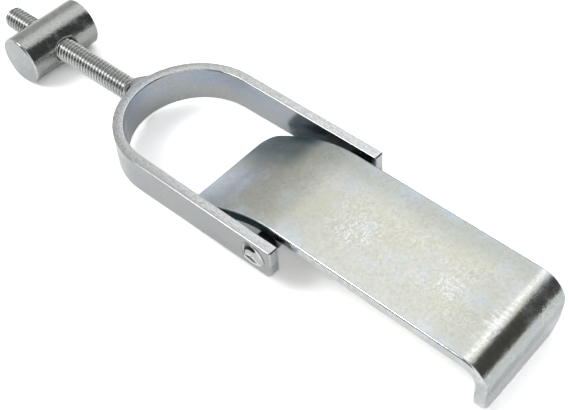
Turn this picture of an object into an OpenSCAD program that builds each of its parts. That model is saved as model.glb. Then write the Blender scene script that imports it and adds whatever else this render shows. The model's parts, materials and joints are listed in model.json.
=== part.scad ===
// Over-centre toggle clamp in zinc-plated steel, lying at rest on a flat floor.
// A barrel nut runs on a threaded stud, the stud is welded to the crown of a bent yoke,
// and a flat lever with a turned-down nose and lip swings on a riveted bar between the arms.
// X runs from the stud to the lip, Y across the arms, Z up, and the floor is at Z = 0.

/* [Barrel nut] */
// Diameter of the barrel nut
barrel_d = 17; // [14:0.5:22]
// Length of the barrel nut across the clamp
barrel_length = 28; // [22:1:40]
// Width of the broken edge at each end of the barrel nut
barrel_edge = 0.6; // [0.2:0.1:1.5]
// Distance from the crown of the yoke to the middle of the barrel nut
barrel_station = 45; // [20:1:54]
// Depth of the countersink at each mouth of the tapped hole
tap_countersink = 0.6; // [0.2:0.1:1]

/* [Stud] */
// Outside diameter of the thread
stud_d = 7.94; // [6:0.01:9]
// Pitch of the thread, 18 turns to the inch
thread_pitch = 1.411; // [1:0.001:2]
// Length of the stud from the crown of the yoke to its free end
stud_length = 66.8; // [60:0.2:90]
// Length of the bevel at the free end of the stud
stud_bevel = 1.3; // [0.3:0.1:2]
// Running clearance of the thread in the barrel nut, on the radius
thread_clearance = 0.05; // [0.02:0.01:0.1]

/* [Neck weld] */
// Reach of the weld along the stud, where the thread ends
weld_reach = 6; // [3:0.1:6.4]
// Leg of the weld on the crown
weld_leg = 3.6; // [1.5:0.1:4.5]
// Thickness left at the toe of the weld on the stud
weld_toe = 0.3; // [0.2:0.1:0.8]

/* [Yoke] */
// Width over the outside of the two arms
yoke_width = 50.8; // [49:0.2:60]
// Thickness of the bent bar
bar_thickness = 3.5; // [2.5:0.1:4]
// Length of the yoke from the crown to the arm ends
yoke_length = 80.2; // [74:0.2:84]
// Height of the bar at the crown
crown_height = 12.8; // [11:0.1:14]
// Height of the bar at the arm ends
end_height = 11.2; // [9:0.1:13]
// Distance from the arm ends to the pivot
pivot_inset = 7; // [5:0.5:9]
// Radius of the lower corner of each arm end
end_corner_r = 3; // [1:0.5:4]

/* [Lever] */
// Width of the lever plate
lever_width = 38.1; // [30:0.1:40]
// Thickness of the lever plate
plate_thickness = 3.5; // [2.5:0.1:4]
// Distance from the pivot to the outside of the lip
lip_reach = 75; // [75:0.5:90]
// Height of the lip over its bend
lip_height = 19.8; // [17:0.1:24]
// Inside radius of the bend at the lip
lip_bend_r = 5; // [3:0.5:7]
// Distance from the pivot to the start of the nose bend
nose_start = 2.6; // [2:0.1:6]
// Distance from the pivot to the tip of the nose
nose_reach = 34.3; // [28:0.1:38]
// Inside radius of the first, tight bend of the nose
nose_bend_r = 8; // [5:0.5:12]
// Angle of the first, tight bend of the nose
nose_bend_angle = 23; // [16:0.5:28]
// Radius of the long curve that runs out to the tip of the nose
nose_sweep_r = 150; // [120:5:300]
// Radius of the corners of the nose and the lip
corner_r = 6; // [3:0.5:9]

/* [Pivot] */
// Diameter of the pivot bar under the lever
pivot_bar_d = 7; // [6.6:0.1:8]
// Height of the lever's underside over the pivot axis, where the bar has its flat
seat_height = 3.2; // [2.9:0.05:3.25]
// Diameter of the turned-down ends of the pivot bar
journal_d = 6; // [4.5:0.1:6.2]
// Running clearance of those ends in the arms, on the radius
journal_clearance = 0.05; // [0.02:0.01:0.1]
// Play between the arms and the shoulders and heads of the pivot bar
side_play = 0.15; // [0.1:0.05:0.3]
// Diameter of the hammered heads of the pivot bar
head_d = 9; // [7.5:0.1:9.5]
// Height of the hammered heads
head_height = 1.1; // [0.6:0.1:1.8]
// Leg on the plate of the welds that hold the pivot bar
pivot_weld_leg = 2.5; // [1.8:0.1:2.6]

/* [Hidden] */
$fn = 96;

// Amount by which a cutting shape stands past the face that it cuts
over = 1;
// Tiny step by which an arc crosses the face that it runs into, so that the two meet in one clean edge
blend = 0.003;
barrel_r = barrel_d / 2;
stud_r = stud_d / 2;
thread_depth = 0.6134 * thread_pitch;
thread_mouth = 7 / 8 * thread_pitch;
crown_r = yoke_width / 2;
inside_r = crown_r - bar_thickness;
arm_run = yoke_length - crown_r;
pivot_bar_r = pivot_bar_d / 2;
journal_hole_r = journal_d / 2 + journal_clearance;

// Lever plate seen from the side, with the pivot axis at 0, 0
plate_top = seat_height + plate_thickness;
lip_outer_r = lip_bend_r + plate_thickness;
lip_edge = plate_top - lip_height;
bend_top_r = nose_bend_r + plate_thickness;
bend_center = [-nose_start, plate_top - bend_top_r];
function spoke(angle) = [-sin(angle), cos(angle)];
sweep_center = bend_center + (bend_top_r - nose_sweep_r) * spoke(nose_bend_angle);
sweep_top_r = nose_sweep_r - blend;
tip_angle = asin((nose_reach + sweep_center[0]) / sweep_top_r);
tip_under = sweep_center + (sweep_top_r - plate_thickness) * spoke(tip_angle);
lip_inside = [lip_reach - plate_thickness, lip_edge];

// At rest the nose tip and the lip carry the lever, and the barrel nut and the pivot carry the yoke
lever_pitch = -atan2(lip_inside[1] - tip_under[1], lip_inside[0] - tip_under[0]);
pivot_z = -(tip_under[0] * sin(lever_pitch) + tip_under[1] * cos(lever_pitch));
pivot_to_crown = yoke_length - pivot_inset;
pivot_to_barrel = pivot_to_crown + barrel_station;
yoke_pitch = asin((pivot_z - barrel_r) / pivot_to_barrel);

// The middle of the clamp's length and width on the floor is the origin
stud_end = pivot_to_crown + stud_length;
stud_end_r = stud_r - stud_bevel;
x_low = -stud_end * cos(yoke_pitch) - stud_end_r * sin(yoke_pitch);
x_high = lip_reach * cos(lever_pitch) - lip_edge * sin(lever_pitch);
pivot_x = -(x_low + x_high) / 2;

// Puts a piece drawn about the pivot axis in place, tipped up by an angle
module at_pivot(pitch) {
    translate([pivot_x, 0, pivot_z])
        rotate([0, -pitch, 0])
            children();
}

// Turns a piece drawn along Z to lie along the stud, from the crown outwards
module along_stud() {
    translate([-pivot_to_crown, 0, 0])
        rotate([0, -90, 0])
            children();
}

// Turns a piece drawn along Z to lie across the clamp
module across() {
    rotate([-90, 0, 0])
        children();
}

// Moves a piece drawn about the middle of the crown's ring into place
module at_crown() {
    translate([crown_r - pivot_to_crown, 0, 0])
        children();
}

// Round face of the crown, used to fit the stud and its weld against it
module crown_face() {
    at_crown()
        cylinder(r = crown_r, h = 2 * crown_height, center = true);
}

// Space between the upper and the lower face of the bar, which run on past the crown over the weld
module between_faces() {
    at_crown()
        rotate([90, 0, 0])
            linear_extrude(height = yoke_width + 2 * over, center = true)
                yoke_side();
}

module barrel_nut() {
    color("silver")
        at_pivot(yoke_pitch)
            difference() {
                translate([-pivot_to_barrel, 0, 0])
                    across()
                        rotate_extrude()
                            barrel_half();
                along_stud()
                    translate([0, 0, barrel_station - barrel_r - over])
                        cylinder(r = stud_r + thread_clearance, h = barrel_d + 2 * over);
                along_stud()
                    translate([0, 0, barrel_station])
                        for (side = [0, 180])
                            rotate([side, 0, 0])
                                tap_mouth();
            }
}

// Half section of the barrel nut with broken edges
module barrel_half() {
    half = barrel_length / 2;
    polygon([
        [0, -half],
        [barrel_r - barrel_edge, -half],
        [barrel_r, -half + barrel_edge],
        [barrel_r, half - barrel_edge],
        [barrel_r - barrel_edge, half],
        [0, half]
    ]);
}

// Cone that opens the mouth of the tapped hole
module tap_mouth() {
    mouth_r = stud_r + thread_clearance;
    depth = tap_countersink + over;
    seat = barrel_r - tap_countersink - mouth_r * mouth_r / barrel_d;
    translate([0, 0, seat])
        cylinder(r1 = mouth_r, r2 = mouth_r + depth, h = depth);
}

module threaded_stud() {
    color("lightsteelblue")
        at_pivot(yoke_pitch)
            difference() {
                along_stud()
                    rotate_extrude()
                        stud_half();
                crown_face();
            }
}

// Half section of the stud, from inside the crown to the bevelled end, with a groove for each turn of thread
module stud_half() {
    turns = floor((stud_length - weld_reach) / thread_pitch);
    difference() {
        polygon([
            [0, -bar_thickness / 2],
            [stud_r, -bar_thickness / 2],
            [stud_r, stud_length - stud_bevel],
            [stud_end_r, stud_length],
            [0, stud_length]
        ]);
        for (turn = [1 : turns])
            translate([stud_r, weld_reach + (turn - 0.5) * thread_pitch])
                thread_groove();
    }
}

// Section of the thread between two crests, with flanks at 60 degrees and a flat root
module thread_groove() {
    past = 0.05 * thread_pitch;
    mouth = thread_mouth / 2 + past * tan(30);
    root = thread_mouth / 2 - thread_depth * tan(30);
    polygon([[past, -mouth], [past, mouth], [-thread_depth, root], [-thread_depth, -root]]);
}

module neck_weld() {
    color("darkgray")
        at_pivot(yoke_pitch)
            difference() {
                intersection() {
                    along_stud()
                        rotate_extrude()
                            weld_half();
                    between_faces();
                }
                crown_face();
            }
}

// Half section of the hollow weld round the stud: its arc leaves the stud smoothly and ends on the crown
module weld_half() {
    rise = weld_leg - weld_toe;
    hollow_r = (weld_reach * weld_reach + rise * rise) / (2 * rise);
    difference() {
        translate([stud_r, -bar_thickness / 2])
            square([weld_leg, weld_reach + bar_thickness / 2]);
        translate([stud_r + weld_toe + hollow_r, weld_reach])
            circle(r = hollow_r);
    }
}

module yoke() {
    color("gainsboro")
        at_pivot(yoke_pitch)
            difference() {
                intersection() {
                    at_crown()
                        bent_bar();
                    between_faces();
                }
                across()
                    cylinder(r = journal_hole_r, h = yoke_width + 2 * over, center = true);
            }
}

// Bar bent to a half ring with two arms, with the middle of the ring at the origin
module bent_bar() {
    tall = 2 * max(crown_height, end_height);
    rotate([0, 0, 90])
        rotate_extrude(angle = 180)
            translate([inside_r, -tall / 2])
                square([bar_thickness, tall]);
    for (side = [-1, 1])
        translate([0, side * (crown_r - bar_thickness / 2) - bar_thickness / 2, -tall / 2])
            cube([arm_run, bar_thickness, tall]);
}

// Outline of the yoke from the side: highest at the crown, rounded under the arm ends
module yoke_side() {
    before = weld_reach + over;
    end = end_height / 2;
    fall = (crown_height / 2 - end) / yoke_length;
    start = end + fall * (yoke_length + before);
    difference() {
        polygon([[-crown_r - before, start], [arm_run, end], [arm_run, -end], [-crown_r - before, -start]]);
        translate([arm_run - end_corner_r, end_corner_r - fall * end_corner_r - end])
            corner_cut(end_corner_r, blend);
    }
}

// What a rounded corner takes away at the lower right of a square, about the centre of its arc
module corner_cut(r, crossing) {
    difference() {
        translate([0, -r - over])
            square([r + over, r + over]);
        circle(r = r + crossing);
    }
}

module lever_plate() {
    color("beige")
        at_pivot(lever_pitch)
            difference() {
                rotate([90, 0, 0])
                    linear_extrude(height = lever_width, center = true)
                        lever_side();
                for (side = [-1, 1])
                    corner_posts(side);
            }
}

// Side view of the bent sheet: what lies under its top face less what lies under its underside
module lever_side() {
    past_tip = 2 * plate_thickness;
    difference() {
        under_face(0, lip_edge);
        under_face(plate_thickness, lip_edge - 2 * bend_top_r);
        translate(sweep_center)
            rotate(tip_angle)
                translate([-past_tip, 0])
                    square([past_tip, nose_sweep_r + over]);
    }
}

// Everything under a face of the sheet that runs at a depth below its top face, down to a level
module under_face(depth, level) {
    difference() {
        translate([-nose_start, level])
            square([nose_start + lip_reach - depth, plate_top - depth - level]);
        translate([lip_reach - lip_outer_r, plate_top - lip_outer_r])
            scale([1, -1])
                corner_cut(lip_outer_r - depth, 0);
    }
    translate(bend_center)
        circle(r = bend_top_r - depth);
    translate(sweep_center)
        intersection() {
            circle(r = sweep_top_r - depth);
            nose_sector(plate_top - level);
        }
}

// Sector about the centre of the nose's long curve, from the tight bend to just past the tip
module nose_sector(deep) {
    inner = nose_sweep_r - deep;
    outer = 1.05 * nose_sweep_r;
    last = tip_angle + 1;
    polygon([
        inner * spoke(nose_bend_angle),
        outer * spoke(nose_bend_angle),
        outer * spoke(last),
        inner * spoke(last)
    ]);
}

// Posts square to the sheet that round the corners of the nose and the lip on one side of the lever
module corner_posts(side) {
    across_at = side * (lever_width / 2 - corner_r);
    depth = plate_thickness + 2 * over;
    translate([sweep_center[0], 0, sweep_center[1]])
        rotate([0, -tip_angle, 0])
            translate([corner_r, across_at, sweep_top_r + over - depth])
                linear_extrude(height = depth)
                    scale([-1, -side])
                        corner_cut(corner_r, blend);
    translate([lip_reach + over, across_at, lip_edge + corner_r])
        rotate([90, 0, -90])
            linear_extrude(height = depth)
                scale([-side, 1])
                    corner_cut(corner_r, blend);
}

module pivot_bar() {
    shoulder = 2 * (inside_r - side_play);
    head_face = crown_r + side_play;
    color("silver")
        at_pivot(lever_pitch) {
            difference() {
                across()
                    cylinder(r = pivot_bar_r, h = shoulder, center = true);
                translate([-pivot_bar_d, -yoke_width / 2, seat_height])
                    cube([2 * pivot_bar_d, yoke_width, pivot_bar_d]);
            }
            across()
                cylinder(r = journal_d / 2, h = 2 * head_face, center = true);
            for (side = [90, -90])
                rotate([side, 0, 0])
                    translate([0, 0, head_face])
                        hammered_head();
        }
}

// Low dome hammered up from the end of the pivot bar
module hammered_head() {
    rim = head_height / 3;
    rise = head_height - rim;
    dome_r = (head_d * head_d / 4 + rise * rise) / (2 * rise);
    intersection() {
        cylinder(d = head_d, h = head_height + over);
        translate([0, 0, head_height - dome_r])
            sphere(r = dome_r);
    }
}

module pivot_welds() {
    run = lever_width - 2 * plate_thickness;
    color("dimgray")
        at_pivot(lever_pitch)
            difference() {
                for (side = [-1, 1])
                    rotate([90, 0, 0])
                        linear_extrude(height = run, center = true)
                            scale([side, 1])
                                weld_corner();
                across()
                    cylinder(r = pivot_bar_r, h = yoke_width, center = true);
            }
}

// Corner between the plate and the pivot bar that the weld fills, drawn into the bar on its inner side
module weld_corner() {
    inner = 0.1 * pivot_bar_r;
    foot = 0.55 * pivot_bar_r;
    polygon([
        [inner, seat_height],
        [pivot_weld_leg, seat_height],
        [0.88 * pivot_bar_r, foot],
        [inner, foot]
    ]);
}

barrel_nut();
threaded_stud();
neck_weld();
yoke();
lever_plate();
pivot_bar();
pivot_welds();
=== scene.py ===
import json
import math

import bmesh
import bpy
import numpy as np
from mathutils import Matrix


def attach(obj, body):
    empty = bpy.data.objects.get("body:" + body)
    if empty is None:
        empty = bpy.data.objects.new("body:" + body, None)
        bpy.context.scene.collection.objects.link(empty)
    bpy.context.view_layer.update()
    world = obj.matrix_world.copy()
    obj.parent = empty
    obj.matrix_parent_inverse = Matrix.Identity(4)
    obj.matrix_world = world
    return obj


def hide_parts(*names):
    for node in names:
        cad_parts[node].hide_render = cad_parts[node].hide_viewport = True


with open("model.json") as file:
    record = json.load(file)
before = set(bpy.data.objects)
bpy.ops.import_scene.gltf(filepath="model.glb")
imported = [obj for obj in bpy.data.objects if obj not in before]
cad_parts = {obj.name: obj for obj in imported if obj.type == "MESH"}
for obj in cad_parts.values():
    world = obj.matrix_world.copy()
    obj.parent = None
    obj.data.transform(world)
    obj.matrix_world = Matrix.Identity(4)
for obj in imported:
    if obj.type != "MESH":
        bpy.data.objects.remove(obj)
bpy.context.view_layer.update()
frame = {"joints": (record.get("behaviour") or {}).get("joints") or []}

# Yoke. One flat steel bar, sheared to a slight taper, bent to a half ring with two arms, drilled for the
# pivot and zinc plated. Its rims are deburred and its lower arm ends are rounded.
joints = {joint["name"]: joint for joint in frame["joints"]}
pivot_place = np.array(joints["lever_swing"]["pos_m"])
stud_line = joints["barrel_adjust"]["axis"]
yoke_pitch = math.atan2(stud_line[2], stud_line[0])
mm = 0.001
yoke_width = 50.8
bar_thickness = 3.5
yoke_length = 80.2
crown_height = 12.8
end_height = 11.2
pivot_inset = 7.0
end_corner_r = 2.4
end_top_r = 0.8
bar_rim_r = 0.42
pivot_hole_r = 3.05
crown_r = yoke_width / 2
bend_mid_r = crown_r - bar_thickness / 2
arm_run = yoke_length - crown_r
pivot_to_crown = yoke_length - pivot_inset
crown_center_x = crown_r - pivot_to_crown
bar_length = 2 * arm_run + math.pi * bend_mid_r


def bench_to_frame(points, pitch):
    """Bench millimetres about the pivot axis, tipped up by pitch about that axis, as metres in the frame."""
    x, y, z = points[..., 0], points[..., 1], points[..., 2]
    c, s = math.cos(pitch), math.sin(pitch)
    return np.stack([x * c - z * s, y, x * s + z * c], -1) * mm + pivot_place


def arc(center, radius, start, end, steps):
    """Points of a circle about a centre, from one angle in degrees to another."""
    angle = np.radians(np.linspace(start, end, steps + 1))
    return np.stack([center[0] + radius * np.cos(angle), center[1] + radius * np.sin(angle)], -1)


def outline_sides(length, height, radii, inset, run, rise, steps=6):
    """Low, high, start and finish side of a rounded rectangle that is drawn in by an inset.

    Each side is half a corner arc, a straight stretch cut at the given shares, and half the next arc.
    """
    top, (a, b, c, d) = height / 2, radii
    corners = {"a": (a, a - top), "b": (length - b, b - top), "c": (length - c, top - c), "d": (d, top - d)}
    left, right = np.array([inset, 0.0]), np.array([length - inset, 0.0])
    floor, ceiling = np.array([0.0, inset - top]), np.array([0.0, top - inset])

    def bend(name, radius, start, end):
        return arc(corners[name], max(radius - inset, 0.0), start, end, steps)

    def side(first, last, cuts):
        straight = first[-1] + cuts[:, None] * (last[0] - first[-1])
        return np.concatenate([first, straight, last])

    low = side(bend("a", a, 225, 270), bend("b", b, 270, 315), run)
    high = side(bend("d", d, 135, 90), bend("c", c, 90, 45), run)
    start = side(bend("a", a, 225, 180), bend("d", d, 180, 135), rise)
    finish = side(bend("b", b, 315, 360), bend("c", c, 0, 45), rise)
    return low, high, start, finish


def filled(low, high, start, finish):
    """Coons face between four sides: both ruled faces less the one through the four corners."""
    u = ((low[:, 0] - low[0, 0]) / (low[-1, 0] - low[0, 0]))[:, None, None]
    v = ((start[:, 1] - start[0, 1]) / (start[-1, 1] - start[0, 1]))[None, :, None]
    along = (1 - v) * low[:, None] + v * high[:, None]
    aside = (1 - u) * start[None] + u * finish[None]
    corners = (1 - v) * ((1 - u) * low[0] + u * low[-1]) + v * ((1 - u) * high[0] + u * high[-1])
    return along + aside - corners


def grid_faces(index, keep=None):
    """Quads of a grid of vertex numbers, less the cells that keep leaves out."""
    quads = np.stack([index[:-1, :-1], index[1:, :-1], index[1:, 1:], index[:-1, 1:]], -1)
    return quads[keep] if keep is not None else quads.reshape(-1, 4)


def rim_of(index):
    """Vertex numbers round the border of a grid, in order."""
    return np.concatenate([index[:, 0], index[-1, 1:], index[-2::-1, -1], index[0, -2:0:-1]])


def hoop_faces(one, other):
    """Quads between two closed rows of vertex numbers."""
    return np.stack([one, np.roll(one, -1), np.roll(other, -1), other], -1)


class Solid:
    """Vertex rows (s, w, n), one float of rim per vertex, and quads, put together patch by patch."""

    def __init__(self):
        self.points, self.rims, self.faces, self.count = [], [], [], 0

    def add(self, points, rim=0.0):
        """Takes an array of points and returns their vertex numbers in the same layout."""
        shape = points.shape[:-1]
        total = int(np.prod(shape))
        self.points.append(points.reshape(-1, 3))
        self.rims.append(np.broadcast_to(rim, shape).reshape(-1))
        self.count += total
        return np.arange(self.count - total, self.count).reshape(shape)

    def arrays(self):
        """All points, rims and faces as whole arrays."""
        return np.concatenate(self.points), np.concatenate(self.rims), np.concatenate(self.faces)


def raised(flat, height):
    """Adds a height to points of a plane."""
    return np.concatenate([flat, np.full(flat.shape[:-1] + (1,), height)], -1)


def plate_solid(sides, thickness, rim_r, holes=(), steps=5):
    """Closed plate in (s, w, n): two filled faces and rows that carry a quarter round over each rim.

    A row at angle a lies rim_r (1 - sin a) inside the outline and rim_r (1 - cos a) under the face.
    Each hole (s, w, radius along s, radius along w) opens a window of cells and is joined to it by rows.
    """
    window_s, window_w = 1.5, 1.35
    solid = Solid()
    face = filled(*sides(rim_r))
    tops = {}
    rows = {}
    for up in (1, -1):
        index = solid.add(raised(face, up * thickness / 2))
        keep = np.ones((face.shape[0] - 1, face.shape[1] - 1), bool)
        middle = face[:, face.shape[1] // 2, 0]
        across = face[face.shape[0] // 2, :, 1]
        for number, (s, w, radius_s, radius_w) in enumerate(holes):
            first, last = np.searchsorted(middle, [s - window_s * radius_s, s + window_s * radius_s])
            low, high = np.searchsorted(across, [w - window_w * radius_w, w + window_w * radius_w])
            keep[first:last, low:high] = False
            window = rim_of(index[first:last + 1, low:high + 1])
            cells = np.arange(face[..., 0].size).reshape(face.shape[:2])
            edge = face.reshape(-1, 2)[rim_of(cells[first:last + 1, low:high + 1])]
            turn = np.arctan2((edge[:, 1] - w) / radius_w, (edge[:, 0] - s) / radius_s)
            circle = np.stack([s + radius_s * np.cos(turn), w + radius_w * np.sin(turn)], -1)
            for share in (0.35, 0.7, 1.0):
                row = solid.add(raised(edge + share * (circle - edge), up * thickness / 2))
                solid.faces.append(hoop_faces(window, row))
                window = row
            rows[up, number] = window
        solid.faces.append(grid_faces(index, keep))
        loop = rim_of(index)
        for angle in np.radians(np.linspace(0, 90, steps + 1))[1:]:
            low, high, start, finish = sides(rim_r * (1 - math.sin(angle)))
            ring = np.concatenate([low, finish[1:], high[-2::-1], start[-2:0:-1]])
            height = up * (thickness / 2 - rim_r * (1 - math.cos(angle)))
            row = solid.add(raised(ring, height), 1.0)
            solid.faces.append(hoop_faces(loop, row))
            loop = row
        tops[up] = loop
    solid.faces.append(hoop_faces(tops[1], tops[-1]))
    for number in range(len(holes)):
        solid.faces.append(hoop_faces(rows[1, number], rows[-1, number]))
    return solid.arrays()


def bar_height(x):
    """Height of the bar, which falls evenly from the crown to the arm ends."""
    return crown_height + (end_height - crown_height) * (x + pivot_to_crown) / yoke_length


def along_bar(points):
    """(s, w, n) on the flat bar, as it lies once it is bent: near arm, half ring and far arm."""
    s, w, n = points.T
    turn = np.clip((s - arm_run) / bend_mid_r, 0, math.pi)
    x = crown_center_x - (bend_mid_r + n) * np.sin(turn)
    x += np.clip(arm_run - s, 0, None) + np.clip(s - bar_length + arm_run, 0, None)
    y = -(bend_mid_r + n) * np.cos(turn)
    return np.stack([x, y, w / crown_height * bar_height(x)], -1)


def add_piece(name, points, faces, body, node, slot, material, **marks):
    """Mesh piece from frame points and faces, turned outwards, that rides on a body in place of a node.

    Every mark is an array with one float or one vector for each vertex, for the material to read.
    """
    mesh = bpy.data.meshes.new(name)
    mesh.from_pydata(points.tolist(), [], faces.tolist())
    for mark, values in marks.items():
        kind, field = ("FLOAT", "value") if values.ndim == 1 else ("FLOAT_VECTOR", "vector")
        mesh.attributes.new(mark, kind, "POINT").data.foreach_set(field, values.astype(np.float32).ravel())
    shell = bmesh.new()
    shell.from_mesh(mesh)
    bmesh.ops.remove_doubles(shell, verts=shell.verts, dist=1e-7)
    bmesh.ops.recalc_face_normals(shell, faces=shell.faces)
    shell.to_mesh(mesh)
    shell.free()
    mesh.shade_smooth()
    mesh.materials.append(material)
    piece = bpy.data.objects.new(name, mesh)
    bpy.context.scene.collection.objects.link(piece)
    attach(piece, body)
    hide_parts(node)


def zinc_skin_group():
    """Zinc plating with a passivated film: warm and cool clouds over the metal, fine grain and small pits.

    Marks lay more over it: Rim a painted highlight in bright metal, Film the cool colour, which is also
    painted light where it is lighter than the metal, Scuff light ticks, Scale painted shade in dark patches,
    Dull a rougher finish and Wear light creases, which also paint glints.
    """
    group = bpy.data.node_groups.new("zinc_skin", "ShaderNodeTree")
    face = group.interface
    for socket, kind, value in (
        ("Place", "NodeSocketVector", None), ("Metal", "NodeSocketColor", (0.6, 0.6, 0.6, 1)),
        ("Warm", "NodeSocketColor", (0.6, 0.58, 0.5, 1)), ("Cool", "NodeSocketColor", (0.5, 0.55, 0.62, 1)),
        ("Cloud Scale", "NodeSocketFloat", 60.0), ("Clouds", "NodeSocketFloat", 0.5),
        ("Grain Scale", "NodeSocketFloat", 1500.0), ("Grain", "NodeSocketFloat", 0.1),
        ("Pits", "NodeSocketFloat", 0.2), ("Rim", "NodeSocketFloat", 0.0),
        ("Film", "NodeSocketFloat", 0.0), ("Scuff", "NodeSocketFloat", 0.0),
        ("Scale", "NodeSocketFloat", 0.0), ("Scale Color", "NodeSocketColor", (0.012, 0.016, 0.018, 1)),
        ("Dull", "NodeSocketFloat", 0.0), ("Wear", "NodeSocketFloat", 0.15),
        ("Roughness", "NodeSocketFloat", 0.3), ("Spread", "NodeSocketFloat", 0.1),
    ):
        made = face.new_socket(socket, in_out="INPUT", socket_type=kind)
        if value is not None:
            made.default_value = value
    for socket, kind in (("Color", "NodeSocketColor"), ("Roughness", "NodeSocketFloat"),
                         ("Height", "NodeSocketFloat")):
        face.new_socket(socket, in_out="OUTPUT", socket_type=kind)
    nodes, links = group.nodes, group.links
    given, result = nodes.new("NodeGroupInput"), nodes.new("NodeGroupOutput")

    def math_node(operation, first, second=0.5, third=0.5):
        node = nodes.new("ShaderNodeMath")
        node.operation = operation
        for socket, value in zip(node.inputs, (first, second, third)):
            if isinstance(value, (int, float)):
                socket.default_value = value
            else:
                links.new(value, socket)
        return node.outputs[0]

    def noise(scale, detail, shift, stretch=(1.0, 1.0, 1.0), swirl=0.0):
        moved = nodes.new("ShaderNodeVectorMath")
        moved.operation = "MULTIPLY_ADD"
        moved.inputs[1].default_value = stretch
        moved.inputs[2].default_value = (shift, shift * 0.7, shift * 0.4)
        links.new(given.outputs["Place"], moved.inputs[0])
        node = nodes.new("ShaderNodeTexNoise")
        node.inputs["Detail"].default_value = detail
        node.inputs["Roughness"].default_value = 0.6
        node.inputs["Distortion"].default_value = swirl
        links.new(moved.outputs[0], node.inputs["Vector"])
        links.new(scale, node.inputs["Scale"])
        return node.outputs[0]

    def stepped(value, low, high):
        node = nodes.new("ShaderNodeMapRange")
        node.interpolation_type = "SMOOTHSTEP"
        node.inputs["From Min"].default_value = low
        node.inputs["From Max"].default_value = high
        links.new(value, node.inputs["Value"])
        return node.outputs["Result"]

    def mixed(share, first, second):
        node = nodes.new("ShaderNodeMix")
        node.data_type = "RGBA"
        links.new(share, node.inputs["Factor"])
        for socket, value in ((node.inputs[6], first), (node.inputs[7], second)):
            if isinstance(value, tuple):
                socket.default_value = value
            else:
                links.new(value, socket)
        return node.outputs[2]

    cloud = given.outputs["Cloud Scale"]
    warm = stepped(noise(cloud, 5.0, 0.31), 0.46, 0.66)
    cool = stepped(noise(math_node("MULTIPLY", cloud, 1.4), 5.0, 0.83), 0.48, 0.68)
    grain = noise(given.outputs["Grain Scale"], 3.0, 0.12)
    spots = stepped(noise(math_node("MULTIPLY", given.outputs["Grain Scale"], 0.45), 2.0, 0.57), 0.63, 0.72)
    patches = stepped(noise(math_node("MULTIPLY", cloud, 0.8), 3.0, 0.44), 0.47, 0.62)
    pits = math_node("MULTIPLY", math_node("MULTIPLY", spots, patches), given.outputs["Pits"])
    share = given.outputs["Clouds"]
    color = mixed(math_node("MULTIPLY", warm, share), given.outputs["Metal"], given.outputs["Warm"])
    blotches = math_node("MULTIPLY", math_node("MULTIPLY_ADD", cool, 0.5, 0.6), given.outputs["Film"])
    edge_film = math_node("MULTIPLY_ADD", cool, share, blotches)
    color = mixed(math_node("MINIMUM", edge_film, 1.0), color, given.outputs["Cool"])
    ticks = noise(math_node("MULTIPLY", given.outputs["Grain Scale"], 1.8), 2.0, 0.2, (0.3, 1.0, 1.0))
    worn = math_node("MULTIPLY", stepped(ticks, 0.46, 0.6), given.outputs["Scuff"])
    crease = noise(math_node("MULTIPLY", cloud, 9.0), 3.0, 0.66, (1.0, 0.6, 1.0), 0.5)
    crease = stepped(math_node("ABSOLUTE", math_node("SUBTRACT", crease, 0.5)), 0.05, 0.0)
    spread = math_node("MULTIPLY_ADD", patches, 0.7, 0.3)
    crease = math_node("MULTIPLY", math_node("MULTIPLY", crease, spread), given.outputs["Wear"])
    ticks_and_painted_glints = math_node("MAXIMUM", worn, math_node("MINIMUM", crease, 0.8))
    # Scuff ticks and creases turn light; the light creases also paint glints.
    color = mixed(ticks_and_painted_glints, color, (0.82, 0.83, 0.81, 1))
    dark = math_node("MULTIPLY", stepped(grain, 0.58, 0.3), given.outputs["Grain"])
    color = mixed(dark, color, (0.2, 0.2, 0.2, 1))
    color = mixed(math_node("MULTIPLY", pits, 0.6), color, (0.12, 0.12, 0.11, 1))
    rubbed = math_node("MULTIPLY_ADD", stepped(grain, 0.4, 0.6), 0.4, 0.3)
    # Rim paints a highlight in bright metal.
    color = mixed(math_node("MULTIPLY", given.outputs["Rim"], rubbed), color, (0.8, 0.81, 0.82, 1))
    # Scale paints shade in the scale colour.
    color = mixed(given.outputs["Scale"], color, given.outputs["Scale Color"])
    links.new(color, result.inputs["Color"])
    swing = math_node("MULTIPLY_ADD", math_node("SUBTRACT", grain, 0.5), given.outputs["Spread"],
                      given.outputs["Roughness"])
    swing = math_node("MULTIPLY_ADD", math_node("SUBTRACT", cool, 0.4), given.outputs["Spread"], swing)
    swing = math_node("MULTIPLY_ADD", given.outputs["Rim"], -0.08, swing)
    swing = math_node("MULTIPLY_ADD", given.outputs["Scale"], 0.25, swing)
    swing = math_node("MULTIPLY_ADD", given.outputs["Dull"], 0.24, swing)
    links.new(math_node("MAXIMUM", swing, 0.08), result.inputs["Roughness"])
    uneven = math_node("MULTIPLY", grain, spread)
    uneven = math_node("MULTIPLY_ADD", crease, 0.12, uneven)
    links.new(math_node("MULTIPLY_ADD", pits, -1.5, uneven), result.inputs["Height"])
    return group


zinc_skin = zinc_skin_group()


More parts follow.
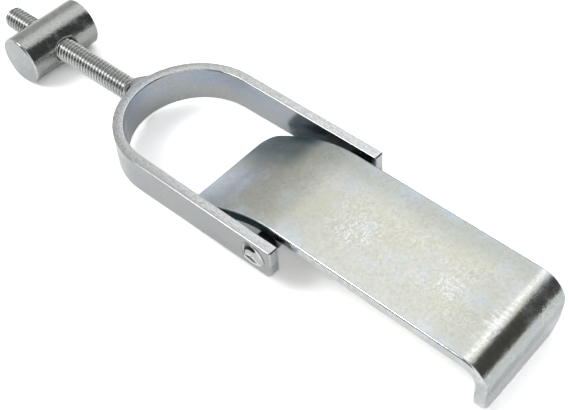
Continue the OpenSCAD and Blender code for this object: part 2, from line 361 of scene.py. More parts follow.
def zinc_material(name, place, depth, marks=(), scale=(1, 1, 1), **values):
    """Bare metal shader whose colour, roughness and bump come from the zinc skin.

    The skin reads Object coordinates, or the vertex mark named by place, stretched by scale.
    """
    material = bpy.data.materials.new(name)
    material.use_nodes = True
    nodes, links = material.node_tree.nodes, material.node_tree.links
    shader = nodes["Principled BSDF"]
    shader.inputs["Metallic"].default_value = 1.0
    skin = nodes.new("ShaderNodeGroup")
    skin.node_tree = zinc_skin
    for socket, value in values.items():
        value = value + (1.0,) if isinstance(value, tuple) else value
        skin.inputs[socket.replace("_", " ").title()].default_value = value
    if place == "object":
        source = nodes.new("ShaderNodeTexCoord").outputs["Object"]
    else:
        mark = nodes.new("ShaderNodeAttribute")
        mark.attribute_name = place
        source = mark.outputs["Vector"]
    mapping = nodes.new("ShaderNodeMapping")
    mapping.inputs["Scale"].default_value = scale
    links.new(source, mapping.inputs["Vector"])
    links.new(mapping.outputs["Vector"], skin.inputs["Place"])
    for mark_name in marks:
        mark = nodes.new("ShaderNodeAttribute")
        mark.attribute_name = mark_name
        links.new(mark.outputs["Fac"], skin.inputs[mark_name.title()])
    bump = nodes.new("ShaderNodeBump")
    bump.inputs["Distance"].default_value = depth * mm
    links.new(skin.outputs["Height"], bump.inputs["Height"])
    links.new(bump.outputs["Normal"], shader.inputs["Normal"])
    links.new(skin.outputs["Color"], shader.inputs["Base Color"])
    links.new(skin.outputs["Roughness"], shader.inputs["Roughness"])
    return material


def smooth(value, low, high):
    """Smooth step from 0 at low to 1 at high."""
    t = np.clip((value - low) / (high - low), 0, 1)
    return t * t * (3 - 2 * t)


def bar_sides(inset):
    """Outline of the flat bar before it is bent, with its lower end corners rounded."""
    radii = (end_corner_r, end_corner_r, end_top_r, end_top_r)
    run = np.linspace(0, 1, 200)[1:-1]
    rise = np.linspace(0, 1, 16)[1:-1]
    return outline_sides(bar_length, crown_height, radii, inset, run, rise)


hole_w = pivot_hole_r * crown_height / bar_height(0.0)
bar_holes = [(place, 0.0, pivot_hole_r, hole_w) for place in (pivot_inset, bar_length - pivot_inset)]
bar_points, bar_rims, bar_faces = plate_solid(bar_sides, bar_thickness, bar_rim_r, bar_holes)
zinc_bar = zinc_material(
    "zinc_bar", "grain_way", 0.007, marks=("rim", "film", "scale"), scale=(0.35, 1, 1),
    metal=(0.45, 0.465, 0.465), warm=(0.46, 0.465, 0.43), cool=(0.4, 0.455, 0.525),
    cloud_scale=90.0, clouds=0.6, grain_scale=3600.0, grain=0.25, pits=0.15, roughness=0.22, spread=0.1,
)
# The inner wall has a blue film above and painted shade beside the lever; upper rims get a painted highlight.
inner_wall = bar_points[:, 2] < 0.1 - bar_thickness / 2
from_end = np.minimum(bar_points[:, 0], bar_length - bar_points[:, 0])
painted_shade_by_lever = inner_wall * np.exp(-((from_end - 12) / 7) ** 2)
blue_wall = inner_wall * (0.1 + 0.75 * smooth(bar_points[:, 1], -4, 3))
add_piece(
    "yoke_bar", bench_to_frame(along_bar(bar_points), yoke_pitch), bar_faces, "frame", "yoke", "zinc_bar",
    zinc_bar, rim=0.7 * bar_rims * (bar_points[:, 1] > 0), film=blue_wall, scale=0.75 * painted_shade_by_lever,
    grain_way=bar_points * mm,
)

# Threaded stud. A length of right-hand threaded rod, bevelled at its free end, butt welded to the crown.
# The crests carry a painted highlight, which leaves the roots darker.
stud_r = 3.97
stud_length = 66.8
stud_bevel = 1.3
thread_pitch = 25.4 / 18
thread_depth = 0.6134 * thread_pitch
crest_flat = 0.14
flank_share = 0.68
run_out = (3.8, 5.4)
rows_per_turn = 14
stud_turn = np.linspace(0, 2 * math.pi, 80, endpoint=False)


def cope(y):
    """How far the round crown falls back from its foremost line, at a distance y to the side."""
    return -(crown_r - np.sqrt(crown_r ** 2 - y ** 2))


def along_stud(a, radius, angle):
    """Points at a distance a from the crown, at a radius and angle about the stud's axis."""
    a, radius, angle = np.broadcast_arrays(a, radius, angle)
    return np.stack([-pivot_to_crown - a, radius * np.sin(angle), radius * np.cos(angle)], -1)


def thread_cut(a, angle):
    """Depth share of a 60 degree thread: 0 on the flat crest, 1 in the rounded root, one turn per pitch."""
    phase = (a / thread_pitch - angle / (2 * math.pi)) % 1.0
    slope = 1 - np.abs(2 * phase - 1)
    ramp = np.clip((slope - crest_flat) / flank_share, 0, 1)
    return 0.3 * ramp + 0.7 * ramp * ramp * (3 - 2 * ramp)


wall = np.linspace(0.25, stud_length - 0.1, int(rows_per_turn * stud_length / thread_pitch))[:, None]
cut = thread_cut(wall, stud_turn) * smooth(wall, *run_out)
wall_r = np.minimum(stud_r - thread_depth * cut, stud_r - 0.1 - (wall - stud_length + stud_bevel))
wall_r = np.maximum(wall_r, 1.9)
foot_r = np.linspace(0, 1, 7)[:, None] * (stud_r - 0.05) + 0 * stud_turn
foot = along_stud(cope(foot_r * np.sin(stud_turn)), foot_r, stud_turn)
tip_r = np.linspace(1, 0, 8)[1:, None] * wall_r[-1]
tip = along_stud(stud_length - 0.04 * (tip_r / 2.6) ** 2, tip_r, stud_turn)
stud_rows = np.concatenate([foot, along_stud(wall, wall_r, stud_turn), tip])
stud_cut = np.concatenate([0 * foot_r, cut, 0 * tip_r])
stud_index = np.arange(stud_cut.size).reshape(stud_cut.shape)
stud_faces = grid_faces(np.concatenate([stud_index, stud_index[:, :1]], 1))
zinc_thread = zinc_material(
    "zinc_thread", "object", 0.006, marks=("rim",),
    metal=(0.5, 0.515, 0.495), warm=(0.52, 0.52, 0.47), cool=(0.4, 0.45, 0.46),
    cloud_scale=300.0, clouds=0.6, grain_scale=3000.0, grain=0.15, pits=0.2, roughness=0.22, spread=0.1,
)
add_piece(
    "stud_thread", bench_to_frame(stud_rows, yoke_pitch).reshape(-1, 3), stud_faces, "frame",
    "threaded_stud", "zinc_thread", zinc_thread, rim=(1 - stud_cut).ravel() ** 2,
)

# Neck weld. A weld that runs up the stud from the crown, hollow to the sides and fuller on the far side,
# with an undercut on the near side that holds painted shade, and dressed flush with the upper and the lower
# face of the bar.
far_reach, far_leg = 6.4, 2.4
near_reach, near_leg = 5.0, 1.6
dressed_run = 1.2
notch_depth = 2.4
notch_turn = math.radians(-36)
notch_width = 0.36
notch_place, notch_run = 2.0, 0.9
toe_dip = 0.9
square_run = 1.1
weld_bury = 1.2
weld_turn = np.linspace(0, 2 * math.pi, 144, endpoint=False)


def weld_rows():
    """Distance from the crown, radius and painted shade of the weld's rows, from the stud to the crown.

    A row is a rounded box about the stud. Its half width grows with the cube of the way up to the crown, its
    half height rises from the stud to the faces of the bar and stays level with them, and its corners go from
    round on the stud to square at the crown. A bell-shaped undercut is taken out of the near upper corner,
    and painted shade darkens it.
    """
    a = np.linspace(far_reach, 0, 48)[:, None]
    aside = np.sin(weld_turn)
    far = smooth(aside, -0.3, 0.7)
    reach = near_reach + (far_reach - near_reach) * far
    leg = near_leg + (far_leg - near_leg) * far
    run = np.clip(1 - a / reach, 0, 1)
    core = stud_r - toe_dip * (1 - smooth(run, 0, 0.15))
    wide = core + leg * run ** 3
    high = core + (crown_height / 2 - 0.02 - stud_r) * (1 - smooth(a, dressed_run, far_reach))
    corner = 2 + 4 * np.exp(-a / square_run)
    outer = ((np.abs(aside) / wide) ** corner + (np.abs(np.cos(weld_turn)) / high) ** corner) ** (-1 / corner)
    off = (weld_turn - notch_turn + math.pi) % (2 * math.pi) - math.pi
    bell = np.exp(-(off / notch_width) ** 2) * np.exp(-((a - notch_place) / notch_run) ** 2)
    painted_shade = smooth(bell, 0.25, 0.6)
    outer = np.maximum(outer - notch_depth * bell, np.minimum(outer, stud_r - 0.5))
    inner_a = np.stack([-weld_bury + 0 * reach, -weld_bury + 0 * reach, far_reach + 0 * reach])
    inner_r = np.stack([outer[-1], stud_r - weld_bury + 0 * reach, stud_r - weld_bury + 0 * reach])
    return (np.concatenate([a + 0 * aside, inner_a]), np.concatenate([outer, inner_r]),
            np.concatenate([painted_shade, 0 * inner_a]))


weld_a, weld_r, weld_painted_shade = weld_rows()
neck = along_stud(weld_a, weld_r, weld_turn)
neck[..., 0] -= cope(np.clip(neck[..., 1], -9, 9)) * (1 - np.clip(weld_a / far_reach, 0, 1))
neck_index = np.arange(weld_a.size).reshape(weld_a.shape)
neck_loop = np.concatenate([neck_index, neck_index[:1]])
neck_faces = grid_faces(np.concatenate([neck_loop, neck_loop[:, :1]], 1))
zinc_weld = zinc_material(
    "zinc_weld", "object", 0.03, marks=("scale",),
    metal=(0.47, 0.48, 0.475), warm=(0.48, 0.48, 0.44), cool=(0.38, 0.41, 0.44),
    cloud_scale=240.0, clouds=0.5, grain_scale=1600.0, grain=0.15, pits=0.25, roughness=0.3, spread=0.12,
)
# The undercut carries painted shade.
add_piece(
    "neck_bead", bench_to_frame(neck, yoke_pitch).reshape(-1, 3), neck_faces, "frame", "neck_weld",
    "zinc_weld", zinc_weld, scale=weld_painted_shade.ravel(),
)

# Barrel nut. Turned from round bar, edges broken on the lathe, cross drilled, countersunk and tapped for
# the stud, and bright zinc plated.
barrel_r = 8.5
barrel_half = 14.0
barrel_rim_r = 0.75
barrel_station = 45.0
tap_r = 4.02
tap_mouth_r = 4.62
mouth_depth = 0.6
bore_step = 1.2
mouth_window = (0.8, 6.6)
lathe_columns = 144
lathe_turn = np.linspace(-math.pi, math.pi, lathe_columns, endpoint=False)


def barrel_point(angle, y, radius):
    """Point of the barrel at an angle from the stud's line, a distance y across and a radius."""
    angle, y, radius = np.broadcast_arrays(angle, y, radius)
    x = -pivot_to_crown - barrel_station + radius * np.cos(angle)
    return np.stack([x, y, radius * np.sin(angle)], -1)


def barrel_profile():
    """Radius, y and painted highlight down the barrel: end face, quarter round, wall, quarter round, end
    face.
    """
    quarter = np.radians(np.linspace(0, 90, 7))
    face_r = np.linspace(0, barrel_r - barrel_rim_r, 14)[:-1]
    edge_r = barrel_r - barrel_rim_r * (1 - np.sin(quarter))
    edge_y = -barrel_half + barrel_rim_r * (1 - np.cos(quarter))
    wall_y = np.linspace(edge_y[-1], -edge_y[-1], 50)[1:-1]
    radius = np.concatenate([face_r, edge_r, barrel_r + 0 * wall_y, edge_r[::-1], face_r[::-1]])
    y = np.concatenate([-barrel_half + 0 * face_r, edge_y, wall_y, -edge_y[::-1], barrel_half + 0 * face_r])
    rim = np.concatenate([0 * face_r, np.sin(2 * quarter), 0 * wall_y, np.sin(2 * quarter), 0 * face_r])
    return radius, y, rim


nut = Solid()
profile_r, profile_y, profile_painted_highlight = barrel_profile()
nut_index = nut.add(barrel_point(lathe_turn[:, None], profile_y, profile_r), profile_painted_highlight)
nut_loop = np.concatenate([nut_index, nut_index[:1]])
nut_angle = np.append(lathe_turn, math.pi)
wall_rows = np.flatnonzero((profile_r == barrel_r) & (np.abs(profile_y) <= mouth_window[1]))
nut_keep = np.ones((lathe_columns, profile_r.size - 1), bool)
bore = []
for facing in (0.0, math.pi):
    swing = (lathe_turn - facing + math.pi) % (2 * math.pi) - math.pi
    columns = np.flatnonzero(np.abs(swing) <= mouth_window[0])
    columns = columns[np.argsort(swing[columns])]
    nut_keep[np.ix_(columns[:-1], wall_rows[:-1])] = False
    window = rim_of(nut_index[np.ix_(columns, wall_rows)])
    grid = np.stack(np.broadcast_arrays(swing[columns][:, None], profile_y[wall_rows]), -1)
    edge = grid.reshape(-1, 2)[rim_of(np.arange(grid[..., 0].size).reshape(grid.shape[:2]))]
    clock = np.arctan2(edge[:, 1], barrel_r * edge[:, 0])
    mouth = np.stack([np.arcsin(tap_mouth_r * np.cos(clock) / barrel_r), tap_mouth_r * np.sin(clock)], -1)
    for share in (0.25, 0.5, 0.75, 1.0):
        spot = edge + share * (mouth - edge)
        row = nut.add(barrel_point(facing + spot[:, 0], spot[:, 1], barrel_r), 0.9 * (share == 1.0))
        nut.faces.append(hoop_faces(window, row))
        window = row
    sign = math.cos(facing)
    seat = barrel_r - mouth_depth - tap_r ** 2 / (2 * barrel_r)
    for depth in (seat, seat - bore_step):
        hoop = np.stack([sign * depth + 0 * clock, tap_r * np.sin(clock), sign * tap_r * np.cos(clock)], -1)
        hoop[:, 0] -= pivot_to_crown + barrel_station
        row = nut.add(hoop)
        nut.faces.append(hoop_faces(window, row))
        window = row
    bore.append((window, clock))
(front_row, front_clock), (back_row, back_clock) = bore
back_seen = np.exp(1j * (math.pi - back_clock))
far_match = np.argmin(np.abs(back_seen[None] - np.exp(1j * front_clock)[:, None]), 1)
nut.faces.append(hoop_faces(front_row, back_row[far_match]))
nut.faces.append(grid_faces(nut_loop, nut_keep))
nut_points, nut_painted_highlights, nut_faces = nut.arrays()
zinc_turned = zinc_material(
    "zinc_turned", "object", 0.08, marks=("rim", "film"),
    metal=(0.39, 0.4, 0.39), warm=(0.4, 0.4, 0.36), cool=(0.5, 0.525, 0.535),
    cloud_scale=160.0, clouds=0.35, grain_scale=1100.0, grain=0.3, pits=0.2, roughness=0.27, spread=0.12,
)
# The rounded edges and the bore mouth get a painted highlight, and the end faces painted light.
add_piece(
    "barrel_turned", bench_to_frame(nut_points, yoke_pitch), nut_faces, "barrel", "barrel_nut",
    "zinc_turned", zinc_turned, rim=nut_painted_highlights, film=1.0 * (np.abs(nut_points[:, 1]) > barrel_half - 0.01),
)

# Lever plate. One steel sheet, sheared with rounded corners, bent down in an easy bend and a long sweep
# at the nose and square at the lip, deburred and zinc plated, which leaves warm and cool clouds on it.
lever_width = 38.1
plate_thickness = 3.5
lip_reach = 75.0
lip_height = 19.8
lip_bend_r = 5.0
nose_start = -2.893
nose_reach = 34.3
nose_bend_r = 35.0
nose_bend = math.radians(23)
nose_sweep_r = 99.35
corner_r = 6.0
seat_height = 3.2
plate_rim_r = 0.7
plate_top = seat_height + plate_thickness
half_plate = plate_thickness / 2


def spoke(angle):
    """Unit vector from upright towards the nose, in the side view."""
    return np.stack([-np.sin(angle), np.cos(angle)], -1)


bend_top_r = nose_bend_r + plate_thickness
bend_center = np.array([-nose_start, plate_top - bend_top_r])
sweep_center = bend_center + (bend_top_r - nose_sweep_r - 0.003) * spoke(nose_bend)
tip_angle = math.asin((nose_reach + sweep_center[0]) / nose_sweep_r)
tip_under = sweep_center + (nose_sweep_r - plate_thickness) * spoke(tip_angle)
lip_center = np.array([lip_reach - lip_bend_r - plate_thickness, plate_top - lip_bend_r - plate_thickness])
lip_inside = np.array([lip_reach - plate_thickness, plate_top - lip_height])
lever_pitch = -math.atan2(lip_inside[1] - tip_under[1], lip_inside[0] - tip_under[0])
sweep_mid_r = nose_sweep_r - half_plate
bend_mid = bend_top_r - half_plate
lip_mid_r = lip_bend_r + half_plate
stretches = np.cumsum([
    (tip_angle - nose_bend) * sweep_mid_r, nose_bend * bend_mid, nose_start + lip_center[0],
    math.pi / 2 * lip_mid_r, lip_center[1] - lip_inside[1],
])


def along_sheet(points):
    """(s, w, n) on the flat sheet, as it lies once it is bent: sweep, bend, flat, lip bend and lip."""
    s, w, n = points.T
    sweep_end, bend_end, flat_end, lip_end, _ = stretches
    sweep = sweep_center + (sweep_mid_r + n)[:, None] * spoke(tip_angle - s / sweep_mid_r)
    bend = bend_center + (bend_mid + n)[:, None] * spoke(nose_bend - (s - sweep_end) / bend_mid)
    flat = np.stack([s - bend_end - nose_start, plate_top - half_plate + n], -1)
    lip_bend = lip_center + (lip_mid_r + n)[:, None] * spoke(-(s - flat_end) / lip_mid_r)
    lip = np.stack([lip_center[0] + lip_mid_r + n, lip_center[1] - (s - lip_end)], -1)
    which = [(s < end)[:, None] for end in stretches[:4]]
    side = np.select(which, [sweep, bend, flat, lip_bend], lip)
    return np.stack([side[:, 0], w, side[:, 1]], -1)


def sheet_sides(inset):
    """Outline of the flat sheet, with four rounded corners."""
    run = np.linspace(0, 1, 240)[1:-1]
    rise = np.linspace(0, 1, 34)[1:-1]
    return outline_sides(stretches[-1], lever_width, (corner_r,) * 4, inset, run, rise, 10)


sheet_points, sheet_rims, sheet_faces = plate_solid(sheet_sides, plate_thickness, plate_rim_r, steps=6)
# Marks by place in mm, mostly painted light and shade over the plating: s runs from the nose to the lip,
# w from the near to the far edge.
sheet_s, sheet_w = sheet_points[:, 0], sheet_points[:, 1]
sheet_lip = sheet_s - stretches[3]
from_bend = sheet_s - stretches[2] - 0.6
# Cool colour: a painted reflection on the nose, painted light on the lip face, a blue film along the rims.
painted_nose_reflection = (1 - smooth(sheet_s, 12, 24)) * (0.5 + 0.6 * smooth(-sheet_w, -4, 10))
painted_lip_blue_light = 0.45 * smooth(from_bend, 4.5, 7.5)
blue_rim = 0.35 * np.exp(-(lever_width / 2 - np.abs(sheet_w)) / 3)
sheet_film_and_painted_light = np.maximum.reduce([painted_nose_reflection, painted_lip_blue_light, blue_rim])
# Painted shade on the nose and its tip, along the far edge, by the lip bend and in the gaps beside the arms.
far_edge = (sheet_w > 0) * smooth(sheet_s, 16, 30) * (1 - smooth(from_bend, -2, 1))
painted_nose_shade = 0.66 * smooth(sheet_w, -1, 12) * (1 - smooth(sheet_s, 21, 31))
painted_nose_shade += 0.25 * smooth(sheet_w, 14, 18) * smooth(sheet_s, 10, 18) * (1 - smooth(sheet_s, 25, 31))
painted_far_shade = far_edge * np.maximum(0.22 * smooth(sheet_w, 6, 17), 0.45 * sheet_rims)
painted_tip_shade = 0.6 * sheet_rims * (1 - smooth(sheet_s, 1.0, 8.0))
painted_lip_shade = 0.1 * smooth(from_bend, -16, -5) * (1 - smooth(from_bend, -1.4, -0.4))
painted_lip_shade += 0.16 * smooth(from_bend, 5.5, 7.0) * (1 - smooth(sheet_lip, 1.5, 5.5))
beside_arms = smooth(sheet_s, 8, 18) * (1 - smooth(sheet_s, 37, 42))
painted_gap_shade = 0.9 * beside_arms * smooth(np.abs(sheet_w), lever_width / 2 - 0.5, lever_width / 2 - 0.1)
sheet_painted_shade = np.maximum.reduce([painted_nose_shade, painted_far_shade, painted_tip_shade, painted_lip_shade, painted_gap_shade])
torn = np.exp(-((sheet_w + 4) / 9) ** 2) * smooth(from_bend, -4.5, -1.5)
torn *= 1 - smooth(from_bend, 0.4, 2.4)
# A nose patch of light ticks and creases, which also paint glints.
nose_nicks_and_glints = np.exp(-((sheet_s - 12) / 6) ** 2 - ((sheet_w + 8) / 8) ** 2)
sheet_scuff = np.maximum(0.75 * torn, 0.4 * nose_nicks_and_glints)
# Painted highlights: a line along the lip bend, light on the lip face, a glint on the nose and the rims.
painted_bend_highlight = np.exp(-(from_bend / 0.5) ** 2)
painted_lip_light = 1.4 * smooth(sheet_lip, 1.5, 5.5)
painted_nose_glint = 0.5 * np.exp(-((sheet_s + 0.6 * sheet_w - 9) / 7) ** 2 - ((sheet_w + 10) / 9) ** 2)
sheet_painted_highlight = np.maximum.reduce([sheet_rims * (1 - far_edge), 1.3 * painted_bend_highlight, painted_lip_light, painted_nose_glint])
sheet_dull = (1 - smooth(sheet_s, 28.0, 56.0)) * (1 - 0.2 * nose_nicks_and_glints)
sheet_dull += 0.3 * smooth(from_bend, -1.0, 1.0) * (1 - smooth(from_bend, 7.0, 9.0))
rubbed = smooth(sheet_s, 40.0, 58.0) * (1 - smooth(sheet_s, 86.0, 104.0))
# Light creases, which also paint glints: a base share, a rubbed band, past the lip bend and on the nose.
sheet_wear_and_glints = 0.2 + 0.65 * rubbed * np.exp(-((sheet_w + 7) / 9) ** 2) + 0.6 * smooth(from_bend, 0.0, 2.0)
sheet_wear_and_glints += 0.5 * (1 - smooth(sheet_s, 12, 24)) + 1.5 * nose_nicks_and_glints
zinc_sheet = zinc_material(
    "zinc_sheet", "object", 0.09, marks=("rim", "film", "scuff", "scale", "dull", "wear"),
    metal=(0.53, 0.535, 0.475), warm=(0.55, 0.545, 0.425), cool=(0.7, 0.81, 0.97),
    # The scale colour is the teal of the painted shade.
    scale_color=(0.03, 0.085, 0.105),
    cloud_scale=70.0, clouds=0.26, grain_scale=900.0, grain=0.18, pits=0.2, roughness=0.2, spread=0.11,
)
add_piece(
    "lever_sheet", bench_to_frame(along_sheet(sheet_points), lever_pitch), sheet_faces, "lever",
    "lever_plate", "zinc_sheet", zinc_sheet, rim=sheet_painted_highlight, film=sheet_film_and_painted_light,
    scuff=sheet_scuff, scale=sheet_painted_shade, dull=sheet_dull, wear=sheet_wear_and_glints,
)

# Pivot bar. A round bar with a narrow flat under the plate, turned down at both ends, put through the
# arms and hammered over outside them, which leaves a crease, a ragged rim and a punch mark. Painted shade
# darkens it in the gaps between the lever and the arms.
pivot_bar_r = 3.5
journal_r = 3.0
head_r = 4.35
side_play = 0.15
shoulder_y = crown_r - bar_thickness - side_play
head_y = crown_r + side_play
pivot_turn = np.linspace(0, 2 * math.pi, 96, endpoint=False)


def hammered(radius, angle):
    """Height, painted shade and painted highlight of a hammered end.

    A low dome leans to the crown side, where a bent crease with painted shade is driven into it and leaves
    a burr with a painted highlight, and a three-sided punch mark, with painted shade inside and painted
    highlights on its flanks, sits under its middle.
    """
    p, q = radius * np.cos(angle), radius * np.sin(angle)
    lean = 0.55 - 0.25 * np.cos(angle - 0.6)
    dome = lean * np.clip(1 - (radius / head_r / 0.92) ** 2, 0, 1) - 0.02
    crease = np.exp(-((np.hypot(p + 0.5, q) - 2.9) / 0.85) ** 2)
    crease *= smooth(np.cos(np.arctan2(q, p + 0.5) - 2.3), -0.1, 0.6)
    sides = [(p + 0.62) * math.cos(way) + (q + 1.22) * math.sin(way) for way in (-1.46, 0.95, 2.12)]
    punch = np.maximum.reduce(sides)
    painted_shade = np.maximum(smooth(crease, 0.2, 0.5), smooth(-punch, -0.95, -0.75))
    flank = smooth(punch, 0.8, 1.0) * (1 - smooth(punch, 1.4, 2.1))
    painted_burr_highlight = smooth(np.cos(angle - 1.0), 0.6, 0.95) * smooth(radius, 2.9, 3.4)
    painted_shine = np.maximum(flank, painted_burr_highlight) * (1 - painted_shade)
    return dome - 0.4 * crease - 0.9 * np.clip(1.2 - punch, 0, 0.33), painted_shade, painted_shine


def pivot_half(side):
    """Radius, y, painted shade and highlight of the rows from a head's middle to the bar inside the arm."""
    ragged = 1 + 0.035 * np.sin(3 * pivot_turn + side) + 0.025 * np.sin(5 * pivot_turn + 2 * side)
    head = np.linspace(0, 0.92, 44)[:, None] * head_r * ragged
    rise, painted_shade, painted_shine = hammered(head, pivot_turn)
    rim = np.array([[0.97, 1.0, 0.98]]).T * head_r * ragged
    bar_r = [pivot_bar_r - 0.25] + [pivot_bar_r] * 3
    neck_r = np.array([[journal_r, journal_r] + bar_r]).T + 0 * pivot_turn
    level = np.array([[0.06, -0.06, -0.13, -0.13]]).T + head_y + 0 * pivot_turn
    inner = np.array([[0.0, 0.0, -0.25, -3.0, -5.0]]).T + shoulder_y + 0 * pivot_turn
    # Painted shade on the bar in the gaps beside the lever.
    gap_painted_shade = np.array([[1.0, 1.0, 1.0, 1.0, 0.0]]).T + 0 * pivot_turn
    return (np.concatenate([head, rim, neck_r]), np.concatenate([head_y + rise, level, inner]),
            np.concatenate([painted_shade, 0 * level, gap_painted_shade]), np.concatenate([painted_shine, 0 * level, 0 * inner]))


near_r, near_y, near_painted_shade, near_painted_shine = pivot_half(1)
far_r, far_y, far_painted_shade, far_painted_shine = pivot_half(-1)
pivot_r = np.concatenate([near_r, far_r[::-1]])
pivot_y = np.concatenate([-near_y, far_y[::-1]])
pivot_rows = np.stack([pivot_r * np.cos(pivot_turn), pivot_y, pivot_r * np.sin(pivot_turn)], -1)
between = np.abs(pivot_y) < shoulder_y
pivot_rows[..., 2] = np.where(between, np.minimum(pivot_rows[..., 2], seat_height), pivot_rows[..., 2])
pivot_index = np.arange(pivot_r.size).reshape(pivot_r.shape)
pivot_faces = grid_faces(np.concatenate([pivot_index, pivot_index[:, :1]], 1))
zinc_rivet = zinc_material(
    "zinc_rivet", "object", 0.012, marks=("rim", "scale"),
    metal=(0.56, 0.56, 0.56), warm=(0.56, 0.555, 0.53), cool=(0.45, 0.48, 0.53),
    cloud_scale=400.0, clouds=0.5, grain_scale=2400.0, grain=0.12, pits=0.3, roughness=0.17, spread=0.08,
)
# The heads get painted highlights and painted shade, and the bar painted shade in the gaps.
add_piece(
    "pivot_hammered", bench_to_frame(pivot_rows, lever_pitch).reshape(-1, 3), pivot_faces, "lever",
    "pivot_bar", "zinc_turned", zinc_rivet, rim=2 * np.concatenate([near_painted_shine, far_painted_shine[::-1]]).ravel(),
    scale=np.concatenate([near_painted_shade, far_painted_shade[::-1]]).ravel(),
)

# Pivot welds. Two fillet beads that hold the bar to the underside of the lever, with the ripples of the
# torch and rounded ends.
bead_run = lever_width - 2 * plate_thickness
bead_step = 1.15
bead_x, bead_z, bead_r = 2.35, 2.6, 0.62
bead_swell = 0.07
bead_share = np.linspace(-1, 1, 160)[:, None]
bead_turn = np.linspace(0, 2 * math.pi, 28, endpoint=False)


def bead_rows(side):
    """Rounded section carried across the lever: its size swells at each ripple and closes at both ends."""
    swell = 1 + bead_swell * np.abs(np.sin(math.pi * bead_share * bead_run / 2 / bead_step))
    close = np.sqrt(np.clip(1 - np.abs(bead_share) ** 14, 0, 1))
    x = bead_x + bead_r * swell * close * np.cos(bead_turn)
    z = bead_z + bead_r * swell * close * np.sin(bead_turn)
    z = np.minimum(z, seat_height + 0.02)
    return np.stack([side * x, bead_share * bead_run / 2 + 0 * x, z], -1)


bead = Solid()
for side in (1, -1):
    rows = bead.add(bead_rows(side))
    bead.faces.append(grid_faces(np.concatenate([rows, rows[:, :1]], 1)))
bead_points, _, bead_faces = bead.arrays()
add_piece(
    "pivot_beads", bench_to_frame(bead_points, lever_pitch), bead_faces, "lever", "pivot_welds",
    "zinc_weld", zinc_weld,
)

# Studio. A white floor, a large soft lamp over the far side, a small strong one over the near side, a light
# wall in front, and a room that is dark to the side, which the round metal mirrors as a band.
floor_half = 3.0
floor_level = 0.9
shown_level = 1.95
mirrored_share = 0.32
floor_mesh = bpy.data.meshes.new("floor")
floor_mesh.from_pydata(
    [(-floor_half, -floor_half, 0), (floor_half, -floor_half, 0), (floor_half, floor_half, 0),
     (-floor_half, floor_half, 0)], [], [(0, 1, 2, 3)])
floor = bpy.data.objects.new("floor", floor_mesh)
bpy.context.scene.collection.objects.link(floor)
floor_paper = bpy.data.materials.new("floor_paper")
floor_paper.use_nodes = True
paper, paper_links = floor_paper.node_tree.nodes, floor_paper.node_tree.links
paper.remove(paper["Principled BSDF"])
matte = paper.new("ShaderNodeBsdfDiffuse")
paper_links.new(matte.outputs[0], paper["Material Output"].inputs["Surface"])
seen = paper.new("ShaderNodeLightPath")
shown = seen.outputs["Is Camera Ray"]
for ray in ("Is Glossy Ray", "Is Transmission Ray"):
    either = paper.new("ShaderNodeMath")
    either.operation = "MULTIPLY_ADD"
    either.inputs[1].default_value = mirrored_share
    paper_links.new(seen.outputs[ray], either.inputs[0])
    paper_links.new(shown, either.inputs[2])
    shown = either.outputs[0]
white = paper.new("ShaderNodeMapRange")
white.inputs["To Min"].default_value = floor_level
white.inputs["To Max"].default_value = shown_level
paper_links.new(shown, white.inputs["Value"])
paper_links.new(white.outputs["Result"], matte.inputs["Color"])
floor_mesh.materials.append(floor_paper)

zenith_level = 0.62
back_level = 0.65
dark_level = 0.07
front_level = 1.0
back_way = (-0.9, 0.43, 0.0)
key_level = 1.35
key_way = (-0.11, 0.62, 0.777)
fill_level = 8.0
fill_way = (-0.43, -0.49, 0.758)
world = bpy.data.worlds.new("studio")
bpy.context.scene.world = world
world.use_nodes = True
sky, sky_links = world.node_tree.nodes, world.node_tree.links
look = sky.new("ShaderNodeTexCoord").outputs["Generated"]
look_axis = sky.new("ShaderNodeSeparateXYZ")
sky_links.new(look, look_axis.inputs[0])


def toward(way):
    """How far a direction points the given way, 1 at its middle."""
    node = sky.new("ShaderNodeVectorMath")
    node.operation = "DOT_PRODUCT"
    node.inputs[1].default_value = way
    sky_links.new(look, node.inputs[0])
    return node.outputs["Value"]


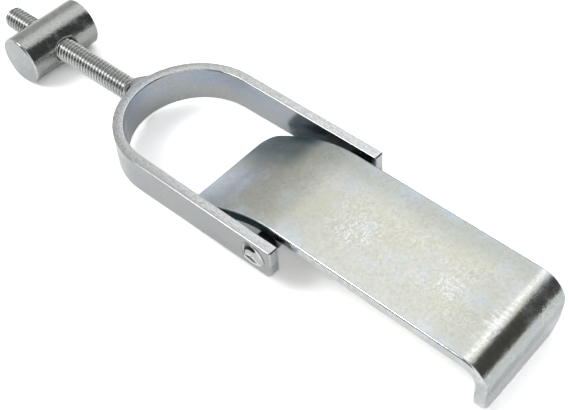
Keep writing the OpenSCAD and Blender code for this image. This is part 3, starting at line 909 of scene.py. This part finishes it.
def sky_range(value, low, high, first, last):
    """Smooth change of level from first to last while value goes from low to high."""
    node = sky.new("ShaderNodeMapRange")
    node.interpolation_type = "SMOOTHSTEP"
    for socket, number in (("From Min", low), ("From Max", high), ("To Min", first), ("To Max", last)):
        if isinstance(number, (int, float)):
            node.inputs[socket].default_value = number
        else:
            sky_links.new(number, node.inputs[socket])
    sky_links.new(value, node.inputs["Value"])
    return node.outputs["Result"]


room = sky_range(toward(back_way), 0.1, 0.6, dark_level, back_level)
room = sky_range(look_axis.outputs["Z"], 0.62, 0.92, room, zenith_level)
room = sky_range(toward(key_way), 0.8, 0.97, room, key_level)
front = sky_range(look_axis.outputs["Y"], -0.25, 0.15, front_level, dark_level)
room = sky_range(look_axis.outputs["X"], 0.19, 0.36, room, front)
room = sky_range(toward(fill_way), 0.965, 0.995, room, fill_level)
path = sky.new("ShaderNodeLightPath")
level = sky_range(path.outputs["Is Camera Ray"], 0.0, 1.0, room, 1.0)
sky_links.new(level, sky["Background"].inputs["Strength"])
sky["Background"].inputs["Color"].default_value = (1, 1, 1, 1)

bpy.context.scene.view_settings.view_transform = "Standard"

# Camera. It stands over the near side of the lip and looks down along the clamp.
camera_azimuth = math.radians(42.90)
camera_elevation = math.radians(50.08)
camera_roll = math.radians(-1.81)
camera_aim = pivot_place + np.array([-7.835, -2.935, -4.340]) * mm
camera_distance = 0.31194
image_width = 569
focal_pixels = 1042.1
back = np.array([
    math.sin(camera_azimuth) * math.cos(camera_elevation),
    -math.cos(camera_azimuth) * math.cos(camera_elevation), math.sin(camera_elevation)])
level_right = np.array([math.cos(camera_azimuth), math.sin(camera_azimuth), 0.0])
level_up = np.cross(back, level_right)
right = math.cos(camera_roll) * level_right + math.sin(camera_roll) * level_up
up = np.cross(back, right)
camera_data = bpy.data.cameras.new("camera")
camera_data.sensor_fit = "HORIZONTAL"
camera_data.sensor_width = 36.0
camera_data.lens = camera_data.sensor_width * focal_pixels / image_width
camera_data.clip_start = 0.01
camera = bpy.data.objects.new("camera", camera_data)
matrix = np.eye(4)
matrix[:3, :3] = np.stack([right, up, back], 1)
matrix[:3, 3] = camera_aim + camera_distance * back
camera.matrix_world = matrix.T.tolist()
bpy.context.scene.collection.objects.link(camera)
bpy.context.scene.camera = camera
